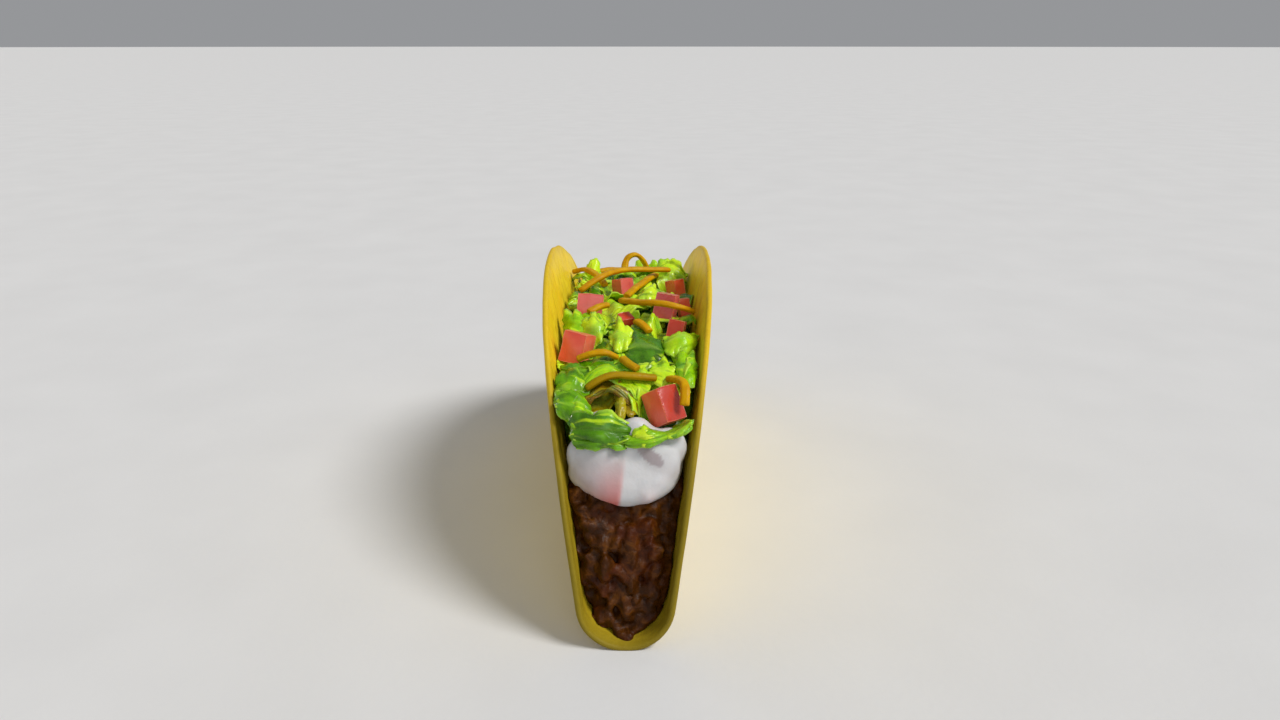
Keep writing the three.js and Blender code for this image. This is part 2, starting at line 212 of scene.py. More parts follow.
def new_piece(name, points, faces, material, slot, replaces, values):
    """A piece from points in millimetres. It rides on the one body and stands for the nodes in
    `replaces`. `values` has what its material reads: by name, one number or a number at each point."""
    mesh = mesh_of(name, points * MM, faces)
    for key, numbers in values.items():
        attribute = mesh.attributes.new(key, "FLOAT", "POINT")
        attribute.data.foreach_set("value", np.full(len(points), numbers, np.float32))
    mesh.materials.append(material)
    mesh.shade_smooth()
    piece = placed(name, mesh)
    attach(piece, "root")
    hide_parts(*replaces)


def loft(rings):
    """A closed mesh through rings of points, with each end closed by one face."""
    rings = np.asarray(rings)
    rows, columns = rings.shape[:2]
    faces = [list(face) for face in grid_faces(rows, columns, closed=True)]
    faces.append(list(range(columns)))
    faces.append([(rows - 1) * columns + j for j in reversed(range(columns))])
    return rings.reshape(-1, 3), faces


def pebble(detail):
    """The points and triangles of a ball of radius 1."""
    bm = bmesh.new()
    bmesh.ops.create_icosphere(bm, subdivisions=detail, radius=1.0)
    points = np.array([vertex.co[:] for vertex in bm.verts])
    faces = [[vertex.index for vertex in face.verts] for face in bm.faces]
    bm.free()
    return points, faces


def joined(parts):
    """The points and faces of several meshes as one."""
    points, faces, first = [], [], 0
    for part_points, part_faces in parts:
        points.append(part_points)
        faces.extend([[index + first for index in face] for face in part_faces])
        first += len(part_points)
    return np.concatenate(points), faces


def melted(parts, voxel, smoothing):
    """Overlapping closed meshes melted into one skin, as points and faces."""
    source = placed("melt", mesh_of("melt", *joined(parts)))
    remesh = source.modifiers.new("Remesh", "REMESH")
    remesh.mode = "VOXEL"
    remesh.voxel_size = voxel
    smooth = source.modifiers.new("Smooth", "SMOOTH")
    smooth.factor = 0.5
    smooth.iterations = smoothing
    return evaluated(source)


def normals_of(points, faces):
    """Outward normals at the points of a mesh."""
    mesh = mesh_of("normals", points, faces)
    normals = np.zeros(len(mesh.vertices) * 3)
    mesh.vertices.foreach_get("normal", normals)
    bpy.data.meshes.remove(mesh)
    return normals.reshape(-1, 3)


# ---- materials

class Finish:
    """A node material with one Principled shader, and short ways to add the nodes it needs."""

    def __init__(self, name, specular, glow=(0, 1, (1, 1, 1)), coat=(0, 0)):
        """`glow` is how much light scatters within, how many millimetres deep and in which colours.
        `coat` is how strong and how rough its wet coat is."""
        self.material = bpy.data.materials.new(name)
        self.material.use_nodes = True
        self.nodes = self.material.node_tree.nodes
        self.links = self.material.node_tree.links
        self.shader = self.nodes["Principled BSDF"]
        self.coordinates = self.nodes.new("ShaderNodeTexCoord").outputs["Object"]
        sockets = {"Specular IOR Level": specular, "Subsurface Weight": glow[0],
                   "Subsurface Scale": glow[1] * MM, "Subsurface Radius": glow[2],
                   "Coat Weight": coat[0], "Coat Roughness": coat[1]}
        for key, value in sockets.items():
            self.shader.inputs[key].default_value = value

    def link(self, value, socket):
        if hasattr(value, "links"):
            self.links.new(value, socket)
        else:
            socket.default_value = value

    def value(self, name):
        """A value that the mesh carries at each point."""
        node = self.nodes.new("ShaderNodeAttribute")
        node.attribute_name = name
        return node.outputs["Fac"]

    def stretched(self, x, y, z):
        node = self.nodes.new("ShaderNodeMapping")
        node.inputs["Scale"].default_value = (x, y, z)
        self.link(self.coordinates, node.inputs["Vector"])
        return node.outputs["Vector"]

    def combined(self, x, y, z):
        """A place made of three values, in which 1 counts as a millimetre."""
        node = self.nodes.new("ShaderNodeCombineXYZ")
        for socket, value in zip(node.inputs, (x, y, z)):
            self.link(self.scaled(value, MM), socket)
        return node.outputs["Vector"]

    def noise(self, size, detail=2.0, roughness=0.5, vector=None, warp=0.0):
        """Noise from 0 to 1 whose lumps are about `size` millimetres across."""
        node = self.nodes.new("ShaderNodeTexNoise")
        node.inputs["Scale"].default_value = 1 / (size * MM)
        node.inputs["Detail"].default_value = detail
        node.inputs["Roughness"].default_value = roughness
        node.inputs["Distortion"].default_value = warp
        self.link(vector or self.coordinates, node.inputs["Vector"])
        return node.outputs["Fac"]

    def cells(self, size):
        """Distance to the nearest of many points about `size` millimetres apart."""
        node = self.nodes.new("ShaderNodeTexVoronoi")
        node.inputs["Scale"].default_value = 1 / (size * MM)
        self.link(self.coordinates, node.inputs["Vector"])
        return node.outputs["Distance"]

    def math(self, operation, first, second=0.0, third=0.0):
        node = self.nodes.new("ShaderNodeMath")
        node.operation = operation
        for socket, value in zip(node.inputs, (first, second, third)):
            self.link(value, socket)
        return node.outputs["Value"]

    def scaled(self, value, factor):
        return self.math("MULTIPLY", value, factor)

    def band(self, value, low, high, new_low=0.0, new_high=1.0):
        """The value from low to high as new_low to new_high, held there outside."""
        node = self.nodes.new("ShaderNodeMapRange")
        node.interpolation_type = "SMOOTHSTEP"
        self.link(value, node.inputs["Value"])
        limits = {"From Min": low, "From Max": high, "To Min": new_low, "To Max": new_high}
        for key, number in limits.items():
            node.inputs[key].default_value = number
        return node.outputs["Result"]

    def ramp(self, value, *stops):
        """Starts the colour, by a value from 0 to 1: stops are (place, red, green, blue)."""
        node = self.nodes.new("ShaderNodeValToRGB")
        elements = node.color_ramp.elements
        while len(elements) < len(stops):
            elements.new(0.5)
        for element, (place, *colour) in zip(elements, stops):
            element.position = place
            element.color = srgb(*colour)
        self.link(value, node.inputs["Fac"])
        self.colour = node.outputs["Color"]

    def tint(self, share, red, green, blue):
        """Mixes a share of that colour into the colour so far."""
        self.colour = self.mix(share, self.colour, srgb(red, green, blue))

    def mix(self, share, first, second):
        node = self.nodes.new("ShaderNodeMix")
        node.data_type = "RGBA"
        self.link(share, node.inputs["Factor"])
        self.link(first, node.inputs["A"])
        self.link(second, node.inputs["B"])
        return node.outputs["Result"]

    def bump(self, height, millimetres):
        """Relief of that depth where the height goes from 0 to 1, on top of any before it."""
        node = self.nodes.new("ShaderNodeBump")
        node.inputs["Distance"].default_value = millimetres * MM
        self.link(height, node.inputs["Height"])
        before = self.shader.inputs["Normal"].links
        if before:
            self.link(before[0].from_socket, node.inputs["Normal"])
        self.link(node.outputs["Normal"], self.shader.inputs["Normal"])

    def painted(self, roughness):
        """The material, with the colour so far."""
        self.link(self.colour, self.shader.inputs["Base Color"])
        self.link(roughness, self.shader.inputs["Roughness"])
        return self.material


def tortilla_material():
    look = Finish("fried_corn_tortilla", specular=0.12, glow=(0.06, 0.6, (1.0, 0.7, 0.1)))
    flecks = look.stretched(0.2, 0.9, 0.2)
    streaks = look.noise(1.0, detail=4, roughness=0.6, vector=flecks, warp=0.3)
    mottle = look.noise(9, detail=4, roughness=0.6)
    grain = look.noise(0.7, detail=3, roughness=0.7)
    look.ramp(mottle, (0.3, 245, 209, 32), (0.55, 251, 218, 42), (0.75, 253, 226, 60))
    look.tint(look.band(streaks, 0.5, 0.66, 0, 0.55), 208, 162, 18)
    look.tint(look.band(grain, 0.55, 0.75, 0, 0.25), 250, 224, 92)
    look.tint(look.band(look.cells(7), 0.0, 0.12, 0.35, 0), 178, 112, 20)
    # painted shade: the shell is painted darker olive low down near both ends, most on the inner faces and
    # the rim
    toast = look.value("toast")
    # painted shade on the rim band: a darker gold at the top, olive-brown lower down
    rim_shade = look.mix(toast, srgb(206, 172, 36), srgb(112, 100, 34))
    look.colour = look.mix(look.scaled(look.value("rim"), 0.85), look.colour, rim_shade)
    look.tint(look.scaled(toast, 0.85), 132, 114, 28)
    look.bump(grain, 0.12)
    look.bump(streaks, 0.15)
    look.bump(look.noise(3.2), 0.3)
    return look.painted(look.band(mottle, 0.3, 0.7, 0.38, 0.55))


def beef_material():
    look = Finish("browned_beef", specular=0.16, glow=(0.05, 0.5, (1.0, 0.3, 0.1)))
    meat = look.noise(2.6, detail=5, roughness=0.62, warp=0.8)
    fine = look.noise(0.5, detail=3, roughness=0.6)
    reddish = look.noise(7)
    look.ramp(meat, (0.3, 40, 17, 0), (0.5, 68, 34, 4), (0.66, 98, 55, 9), (0.8, 128, 80, 20))
    look.tint(look.band(reddish, 0.5, 0.7, 0, 0.5), 74, 24, 3)
    # painted shade: darker in the sunk parts of the relief
    look.tint(look.value("crevice_shade"), 30, 12, 2)
    look.bump(fine, 0.14)
    look.bump(meat, 0.3)
    return look.painted(look.band(fine, 0.35, 0.65, 0.26, 0.5))


def cream_material():
    look = Finish("sour_cream", specular=0.4, glow=(0.35, 1.6, (1.0, 0.75, 0.6)), coat=(0.06, 0.3))
    swirl = look.noise(7, warp=0.8)
    look.ramp(swirl, (0.3, 196, 195, 196), (0.7, 208, 208, 209))
    # painted glow: a pink tint low on the shaded left of the keel, standing in for light glowing through
    # the cream
    look.tint(look.value("painted_glow"), 214, 106, 100)
    # painted shadow: a grey patch where a leaf's shadow falls on the cream
    look.tint(look.value("painted_shadow"), 168, 158, 160)
    look.bump(look.noise(2.6), 0.12)
    look.bump(look.noise(0.5), 0.03)
    return look.painted(look.band(swirl, 0.3, 0.7, 0.38, 0.5))


def leaf_material(name, shades, wetness=0.14, pale_edge=0.5):
    """Lettuce: `tint` picks the leaf's own green, with teal patches of painted sheen, and dark streaks of
    painted shade and pale streaks of painted highlight from end to end along the pleats, and lighter ribs
    and edges. Shades run from dark to pale."""
    look = Finish(name, specular=0.3, glow=(0.2, 1.2, (0.5, 1.0, 0.1)), coat=(wetness, 0.15))
    along, across, own_tint = (look.value(key) for key in ("along", "across", "tint"))
    own = look.combined(look.scaled(along, 0.9), look.scaled(across, 3.2), look.scaled(own_tint, 40.0))
    streaks = look.noise(1.3, detail=1.5, vector=own, warp=0.4)
    teal_sheen = look.noise(6)
    across = look.math("ABSOLUTE", across)
    blotch = look.noise(3.4)
    fine = look.noise(0.7, detail=3)
    stops = [((i + 0.5) / len(shades), *shade) for i, shade in enumerate(shades)]
    tint = look.math("MULTIPLY_ADD", blotch, 0.6, look.math("SUBTRACT", own_tint, 0.3))
    look.ramp(tint, *stops)
    # painted sheen: teal patches
    look.tint(look.band(teal_sheen, 0.5, 0.68, 0, 0.35), 90, 166, 70)
    # painted shade and painted highlight: dark and pale streaks along the pleats
    look.tint(look.band(streaks, 0.44, 0.3, 0, 0.5), *shades[0])
    look.tint(look.band(streaks, 0.56, 0.72, 0, 0.7), *shades[-1])
    branch = look.math("MULTIPLY_ADD", across, -1.8, look.scaled(along, 3.2))
    branch = look.math("ABSOLUTE", look.math("SINE", look.scaled(branch, math.pi)))
    veins = look.band(branch, 0.0, 0.22, 1, 0)
    rib = look.band(across, 0.02, 0.2, 1, 0)
    lines = look.math("MAXIMUM", look.scaled(veins, 0.25), rib)
    look.tint(look.scaled(lines, look.value("ribs")), 190, 224, 96)
    look.tint(look.band(across, 0.8, 1.0, 0, pale_edge), 186, 226, 84)
    look.bump(fine, 0.05)
    look.bump(lines, 0.1)
    look.bump(streaks, 0.35)
    return look.painted(look.band(fine, 0.35, 0.65, 0.22, 0.36))


def tomato_material():
    """Tomato flesh. Its values say how far a die leans to pink, which is partly its own colour and partly a
    painted reflection of the sky on its wet faces, how far to dark red, and where it has its glossy dark
    skin, painted darker also as a painted shade on that side."""
    look = Finish("tomato_flesh", specular=0.5, glow=(0.4, 2.4, (1.0, 0.3, 0.15)), coat=(0.35, 0.12))
    flesh = look.noise(4.4, roughness=0.45, warp=0.3)
    fine = look.noise(0.6)
    look.ramp(flesh, (0.3, 234, 82, 58), (0.52, 246, 102, 76), (0.72, 252, 124, 96))
    # partly the flesh's own pink, partly a painted reflection of the sky
    look.tint(look.value("pink_and_sheen"), 206, 100, 104)
    look.tint(look.value("deep"), 184, 50, 30)
    look.tint(look.scaled(look.value("edge"), 0.35), 246, 170, 142)
    # skin and painted shade: the skin side is painted a darker red
    look.tint(look.value("skin_and_shade"), 192, 66, 50)
    look.bump(flesh, 0.2)
    look.bump(fine, 0.03)
    roughness = look.band(flesh, 0.3, 0.7, 0.26, 0.4)
    return look.painted(look.math("MULTIPLY_ADD", look.value("skin_and_shade"), -0.12, roughness))


def cheese_material():
    """Grated cheese. One value says how far a strand is painted a darker, greener yellow, a painted shade
    on the near strands.
    """
    look = Finish("grated_cheese", specular=0.12, glow=(0.2, 1.0, (1.0, 0.5, 0.1)))
    patches = look.noise(2.2, detail=3)
    fine = look.noise(0.5, detail=3)
    look.ramp(patches, (0.3, 192, 137, 0), (0.55, 202, 151, 0), (0.75, 214, 168, 0))
    # painted shade: near strands darkened towards olive
    look.tint(look.value("olive_shade"), 156, 128, 0)
    look.bump(fine, 0.08)
    return look.painted(look.band(fine, 0.35, 0.65, 0.35, 0.5))


def floor_material():
    look = Finish("pale_floor", specular=0.2)
    patches = look.noise(40, detail=3)
    look.ramp(patches, (0.2, 214, 214, 214), (0.8, 220, 220, 220))
    look.bump(look.noise(2), 0.05)
    return look.painted(0.8)


# ---- shell

def section(arc, inset=0.0):
    """The shell's section: x and z at a distance along it from the fold line, `inset` inside its
    outer face."""
    arc = np.asarray(arc, float)
    reach = np.abs(arc)
    bend = (RIM_TURN - FOLD_TURN) / (RADIUS - FOLD_ARC)
    turn = np.where(reach < FOLD_ARC, reach / FOLD_RADIUS, FOLD_TURN + bend * (reach - FOLD_ARC))
    wall_x = FOLD_RADIUS * np.sin(FOLD_TURN) + (np.sin(turn) - np.sin(FOLD_TURN)) / bend
    wall_z = FOLD_RADIUS * (1 - np.cos(FOLD_TURN)) - (np.cos(turn) - np.cos(FOLD_TURN)) / bend
    x = np.where(reach < FOLD_ARC, FOLD_RADIUS * np.sin(turn), wall_x) - inset * np.sin(turn)
    z = np.where(reach < FOLD_ARC, FOLD_RADIUS * (1 - np.cos(turn)), wall_z) + inset * np.cos(turn)
    z -= FOOT_DEPTH
    return np.sign(arc) * x, np.where(np.asarray(inset) > THICKNESS / 2, z, np.maximum(z, 0))


WALL_ARCS = np.linspace(0, RADIUS, 400)


def wall_x(z, inset=THICKNESS):
    """Half the room between the walls at a height."""
    x, height = section(WALL_ARCS, inset)
    return np.interp(z, height, x)


def arc_at(z, inset=THICKNESS):
    height = section(WALL_ARCS, inset)[1]
    return np.interp(z, height, WALL_ARCS)


def kept_inside(points, gap):
    """The points, with any that lie in the shell moved to `gap` inside its inner face."""
    points = points.copy()
    inset = THICKNESS + gap
    floor_x, floor_z = section(WALL_ARCS, inset)
    lowest = np.minimum(np.interp(np.abs(points[:, 0]), floor_x, floor_z), FOLD_RADIUS)
    height = points[:, 2]
    in_fold = height < floor_z[np.searchsorted(WALL_ARCS, FOLD_ARC)]
    points[:, 2] = np.where(in_fold, np.maximum(height, lowest), height)
    room = wall_x(points[:, 2], inset)
    points[:, 0] = np.clip(points[:, 0], -room, room)
    return points


def shell_piece():
    """The folded disc, swept ring by ring over its outer face, round its rim and back over its
    inner face."""
    half = THICKNESS / 2
    radii = np.linspace(0.4, RADIUS - half, SHELL_ROWS)
    rim_turns = np.linspace(0, math.pi, 9)[1:-1]
    profile = [(radius, 0.0) for radius in radii]
    profile += [(RADIUS - half + half * math.sin(turn), half - half * math.cos(turn)) for turn in rim_turns]
    profile += [(radius, THICKNESS) for radius in radii[::-1]]
    angle = np.linspace(0, math.tau, SHELL_COLUMNS, endpoint=False)
    rings, rim, toast = [], [], []
    for radius, inset in profile:
        flat = np.stack([radius * np.cos(angle), radius * np.sin(angle), np.zeros(SHELL_COLUMNS)], -1)
        edge = max(0.0, (radius - RADIUS + RIM_WIDTH) / RIM_WIDTH)
        ragged = 1 + RAGGEDNESS * lumps(flat, 6, 41) * edge
        swell = SWELL * lumps(flat, 6, 42) + BLISTER * np.maximum(lumps(flat, 11, 43) - 0.25, 0)
        side = -1 if inset < half else 1
        x, z = section(flat[:, 0] * ragged, inset + side * swell * (1 - edge))
        rings.append(np.stack([x, flat[:, 1] * ragged, z], -1))
        rim.append(edge ** 2)
        # painted shade, darker low down near the ends; only partly on the outer faces, except at the rim
        shade_share = OUTSIDE_SHADE + (1 - OUTSIDE_SHADE) * edge if side < 0 else 1.0
        toast.append(shade_share * fade(z, SHADE_TOP, -SHADE_FADE) * fade(radius, SHADE_START, SHADE_SPREAD))
    values = {"rim": np.repeat(rim, SHELL_COLUMNS), "toast": np.concatenate(toast)}
    new_piece("fried_shell", *loft(rings), tortilla_material(), "tortilla", ["shell"], values)


# ---- ground beef

def beef_reach(x, arc):
    """How far along the fold the meat reaches at a distance up the section: less in the lower
    corners, on the upper right and by the walls, more at the bottom."""
    corners = 1.3 * math.exp(-((arc - 13) / 5) ** 2) - 1.4 * math.exp(-(arc / 6) ** 2)
    right = 2.0 * fade(x, 5, 5) * fade(arc, 12, 8)
    half_width = max(float(section(arc, THICKNESS)[0]), 1.0)
    sides = 4.0 * min(abs(x) / half_width, 1.0) ** 6 * min(arc / 12, 1.0)
    return math.sqrt((RADIUS - BEEF_SETBACK) ** 2 - arc ** 2) - corners - right - sides


def beef_body():
    """The meat without its crumbs: sections across the fold, lower and lower towards the ends."""
    top_arc = arc_at(BEEF_TOP, THICKNESS + BEEF_GAP)
    rings = []
    half_length = RADIUS - BEEF_SETBACK - BEEF_COVER
    for turn in np.linspace(-0.5, 0.5, 81)[1:-1] * math.pi:
        reach = half_length * math.sin(turn)
        arc = min(half_length * math.cos(turn), top_arc)
        x, z = section(np.linspace(-arc, arc, 40), THICKNESS + BEEF_GAP)
        lid_x = np.linspace(x[-1], x[0], 14)[1:-1]
        ring_x = np.concatenate([x, lid_x])
        ring_z = np.concatenate([z, np.full(len(lid_x), z[-1])])
        rings.append(np.stack([ring_x, np.full(len(ring_x), reach), ring_z], -1))
    return loft(rings)


def crumb(rng, centre, radius):
    """A lump of mince: an uneven pebble, pinched and knobbly."""
    points, faces = pebble(3)
    seed = int(rng.integers(1000))
    points *= (1 + 0.3 * rough(points, 0.9, seed))[:, None]
    points *= rng.uniform([0.8, 0.6, 0.7], [1.5, 1.0, 1.1]) * radius
    turn = np.array(Euler(rng.uniform(0, math.tau, 3)).to_matrix())
    return points @ turn.T + centre, faces


def crumb_places(rng):
    """Middles and radii of the lumps on both end faces of the meat, `CRUMB_SPACING` radii apart."""
    top_arc = float(arc_at(BEEF_TOP - 1))
    places = []
    for _ in range(CRUMB_TRIES):
        end = -1 if rng.random() < 0.5 else 1
        arc = rng.uniform(0, top_arc)
        half_width, z = section(arc, THICKNESS)
        x = rng.uniform(-half_width, half_width)
        radius = rng.uniform(*CRUMB_RADIUS) * (0.7 + 0.3 * min(1.0, arc / 20))
        sunk = rng.uniform(0.3, 0.9) * radius
        place = np.array([x, end * (beef_reach(x, arc) - sunk), z])
        if all(np.linalg.norm(place - other) > CRUMB_SPACING * (radius + size) for other, size in places):
            places.append((place, radius))
    return places


def beef_piece():
    rng = np.random.default_rng(SEED)
    parts = [beef_body()] + [crumb(rng, *place) for place in crumb_places(rng)]
    points, faces = melted(parts, BEEF_VOXEL, smoothing=5)
    normals = normals_of(points, faces)
    folds = lumps(points * [1, 1, 0.7], 3.2, 50)
    fine = rough(points * [1, 1, 0.75], 1.9, 51)
    points = points + normals * (0.35 * folds + 0.38 * fine)[:, None]
    points = kept_inside(points, 0.12)
    # painted shade where the relief sinks in
    crevice_shade = np.clip(-0.5 * fine - 0.4 * folds - 0.15, 0, 1)
    new_piece("ground_beef", points, faces, beef_material(), "beef", ["beef"], {"crevice_shade": crevice_shade})


# ---- sour cream

# Extra dollops: middle and half sizes. They rise between the lettuce and bulge over the beef.
DOLLOPS = [
    ((9.0, -57.6, 38.4), (4.2, 3.0, 5.0)),
    ((4.2, -57.8, 39.2), (6.6, 3.6, 4.4)),
    ((2.2, -56.6, 40.6), (4.2, 2.8, 5.0)),
    ((-4.8, -55.0, 41.4), (5.4, 3.8, 4.6)),
    ((-7.4, -60.2, 37.0), (5.6, 2.6, 5.4)),
    ((-8.0, -60.8, 33.2), (4.6, 2.2, 4.4)),
    ((7.2, -60.6, 35.4), (4.6, 2.0, 6.0)),
    ((0.6, -62.4, 31.0), (5.4, 2.4, 3.6)),
    ((5.4, -61.8, 32.0), (4.4, 2.2, 3.8)),
    ((-6.5, 57.5, 38.8), (5.6, 4.0, 4.6)),
    ((-2.0, 62.0, 31.8), (5.0, 2.8, 3.2)),
    ((6.8, 61.0, 33.2), (4.4, 2.8, 3.4)),
]
# A painted shadow of a leaf on the near end, a grey patch which runs down to the right: its middle in x and
# z, its half sizes and its slant.
SHADOW_PLACE = np.array([5.0, 39.0])
SHADOW_HALF = (3.4, 1.3)
SHADOW_TURN = np.array([[0.80, 0.60], [-0.60, 0.80]])


def cream_body():
    """A long blunt blob: rings along the fold, whose ends lean back and droop."""
    along = np.sin(np.linspace(-0.5, 0.5, 121)[1:-1] * math.pi)
    angle = np.linspace(0, math.tau, 72, endpoint=False)
    across, up = np.cos(angle), np.sin(angle)
    power = CREAM_SQUARENESS
    square = (np.abs(across) ** power + np.abs(up) ** power) ** (-1 / power)
    rings = []
    for share in along:
        size = max(1 - abs(share) ** CREAM_BLUNTNESS, 0) ** (1 / power)
        x = CREAM_HALF[0] * size * square * across * np.where(across > 0, CREAM_RIGHT, 1.0)
        z = CREAM_HALF[2] * size * square * up
        y = share * (CREAM_HALF[1] - CREAM_LEAN * z)
        rings.append(np.stack([x, y, z - CREAM_DROOP * share ** 6], -1) + CREAM_CENTRE)
    return loft(rings)


def cream_piece():
    parts = [cream_body()]
    for centre, half in DOLLOPS:
        points, faces = pebble(4)
        parts.append((points * half + centre, faces))
    points, faces = melted(parts, CREAM_VOXEL, smoothing=24)
    x, y, z = points.T
    ends = fade(np.abs(y), 52, 8)
    side = x - KEEL_X - 0.14 * (z - 35)
    keel = KEEL_DEPTH * np.maximum(1 - np.sqrt(side ** 2 + 0.05) / np.where(side < 0, 10.0, 26.0), 0)
    ridge = 0.7 * np.exp(-((x - 4.2 - 0.1 * (35 - z)) / 1.5) ** 2) * fade(z, 36, -6)
    points[:, 1] += np.sign(y) * ends * (keel + ridge - 0.75 * KEEL_DEPTH + 0.3 * lumps(points, 7, 61))
    points = kept_inside(points, 0.15)
    # painted glow: pink low down at both ends, left of the keel and in small patches
    low = fade(points[:, 2], 39, -11) * ends
    glow_share = low * np.where(side < 0, np.exp(-(side / 6.0) ** 2), np.exp(-(side / 0.5) ** 2))
    glow_share += 0.2 * low * np.clip(lumps(points, 5, 62), 0, 1)
    # painted shadow of a leaf, on the near end only
    away = (points[:, [0, 2]] - SHADOW_PLACE) @ SHADOW_TURN / SHADOW_HALF
    spread_out = (away ** 2).sum(axis=1) + 0.35 * lumps(points, 2.4, 63)
    values = {"painted_glow": np.clip(glow_share, 0, 1), "painted_shadow": fade(spread_out, 1, -0.2) * (y < 0)}
    new_piece("cream_dollop", points, faces, cream_material(), "sour_cream", ["sour_cream"], values)


# ---- toppings from the frame's own solids

def cleaned_copy(node):
    """The node's mesh in millimetres as a bmesh, with its split corners joined and its flat
    triangles paired."""
    bm = bmesh.new()
    bm.from_mesh(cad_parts[node].data)
    bmesh.ops.remove_doubles(bm, verts=bm.verts, dist=1e-6)
    for vertex in bm.verts:
        vertex.co /= MM
    bmesh.ops.join_triangles(bm, faces=bm.faces, angle_face_threshold=0.35, angle_shape_threshold=0.9)
    bm.normal_update()
    return bm


def subdivided(bm, crispness=0.0):
    """The bmesh as points and faces after smooth subdivision, with its sharp edges kept as crisp as
    `crispness` says, from 0 to 1. The bmesh is freed."""
    crease = bm.edges.layers.float.new("crease_edge")
    for edge in bm.edges:
        if edge.calc_face_angle(0) > CREASE_ANGLE:
            edge[crease] = crispness
    mesh = bpy.data.meshes.new("smooth")
    bm.to_mesh(mesh)
    bm.free()
    source = placed("smooth", mesh)
    source.modifiers.new("Subdivision", "SUBSURF").levels = SUBDIVISIONS
    return evaluated(source)


# How far a die leans to pink and to dark red, where it isn't plain coral. The pink is partly a painted
# reflection of the sky on wet faces.
DIE_TINTS = {2: (0.15, 0.0), 3: (0.6, 0.0), 4: (0.6, 0.1), 6: (0.75, 0.1), 8: (0.0, 0.6), 9: (0.0, 0.6),
             10: (0.3, 0.0)}
# Where the side with the tomato's skin faces, on a die cut from its outside. That side is also painted
# darker as a painted shade.
DIE_SHADED_SKINS = {1: (0.56, -0.60, 0.57)}


def tomato_piece(number, material):
    """A cut die with rounded, slightly uneven edges and faces that dish a little."""
    node = f"tomato_{number}"
    bm = cleaned_copy(node)
    face_normals = np.array([face.normal[:] for face in bm.faces])
    sharp = [edge for edge in bm.edges if edge.calc_face_angle(0) > 0.7]
    bevel = min(0.7, 0.12 * min(edge.calc_length() for edge in sharp))
    bmesh.ops.bevel(bm, geom=sharp, offset=bevel, segments=2, profile=0.5, affect="EDGES")
    points, faces = subdivided(bm)
    normals = normals_of(points, faces)
    facing = np.abs(normals @ face_normals.T).max(axis=1)
    edge = fade(facing, 0.985, -0.12)
    uneven = 0.16 * rough(points, 3.2, 70 + number, octaves=2) - 0.14 * (1 - edge)
    pink_and_sheen, deep = DIE_TINTS.get(number, (0, 0))
    # the skin side, glossy, and darker also as a painted shade
    shaded_skin_side = np.array(DIE_SHADED_SKINS.get(number, (0, 0, 0)))
    values = {"edge": edge, "skin_and_shade": fade(normals @ shaded_skin_side, 0.82, 0.12), "pink_and_sheen": pink_and_sheen, "deep": deep}
    points = points + normals * uneven[:, None]
    new_piece(f"tomato_die_{number}", points, faces, material, "tomato", [node], values)


# How far a strand is painted olive as a painted shade, where it isn't plain yellow.
STRAND_TINTS = {8: 0.4, 9: 0.8}


def strand_piece(number, material):
    """A grated strand: the node's own flat bar with softened edges, slightly rough."""
    node = f"cheese_{number}"
    points, faces = subdivided(cleaned_copy(node), crispness=0.9)
    normals = normals_of(points, faces)
    swell = 0.12 + 0.06 * rough(points, 1.6, 90 + number)
    points = points + normals * swell[:, None]
    values = {"olive_shade": STRAND_TINTS.get(number, 0)}
    new_piece(f"cheese_strand_{number}", points, faces, material, "cheese", [node], values)


# ---- lettuce

def bank(turn, x):
    """A point on the bare bank of lettuce: `turn` runs from 0 at the near foot over the top to pi."""
    rise = np.maximum(np.sin(turn), 0) * (BANK_HEIGHT - BANK_CROWN * (x / BANK_HALF_WIDTH) ** 2)
    return np.array([x, -BANK_HALF_LENGTH * np.cos(turn), BANK_FLOOR + rise])


# The dark hollow in the near slope: middle and radius.
HOLLOW = (np.array([-3.2, -52.5, 47.5]), 4.6)


def lettuce_core():
    """What shows between the leaves: a bumpy bank of leaf in darker greens, a painted shade for the gaps
    between the leaves, dented at the hollow.
    """
    across = np.linspace(1, -1, 41)
    rings = []
    for turn in np.linspace(0.02, math.pi - 0.02, 121):
        base = bank(turn, 0)
        room = wall_x(base[2]) - LEAF_GAP - 4.2 * fade(base[2], 49, -8)
        top = np.array([bank(turn, share * min(room, BANK_HALF_WIDTH)) for share in across])
        top[:, 2] -= 1.0 + 1.8 * np.abs(across) ** 6
        top[:, 2] += (1 - across ** 6) * rough(top, 5, 81)
        away = np.linalg.norm(top - HOLLOW[0], axis=1)
        top[:, 1] += 5.0 * np.exp(-(away / HOLLOW[1]) ** 2)
        bottom = top[::-1].copy()
        bottom[:, 2] = BANK_FLOOR - BANK_DEPTH
        rings.append(np.concatenate([top, bottom]))
    points, faces = loft(rings)
    points = kept_inside(points, 0.15)
    # painted shade: darker greens than the loose leaves
    material = leaf_material("painted_shade_lettuce", [(44, 76, 4), (62, 102, 6), (86, 132, 10)])
    values = {"tint": 0.5 + 0.5 * lumps(points, 4, 82), "along": 0.0, "across": 0.5, "ribs": 0.0}
    new_piece("lettuce_core", points, faces, material, "lettuce", ["lettuce"], values)


# Where each point of a leaf's grid lies: from end to end, and from its lower to its upper edge.
ALONG, ACROSS = np.meshgrid(np.linspace(-1, 1, LEAF_ROWS), np.linspace(-1, 1, LEAF_COLUMNS), indexing="ij")


def through(points):
    """The curve through three points, given as nine numbers, at each row of a leaf's grid."""
    t = ALONG[..., None]
    first, middle, last = np.reshape(points, (3, 3))
    return first * t * (t - 1) / 2 + middle * (1 - t * t) + last * t * (t + 1) / 2


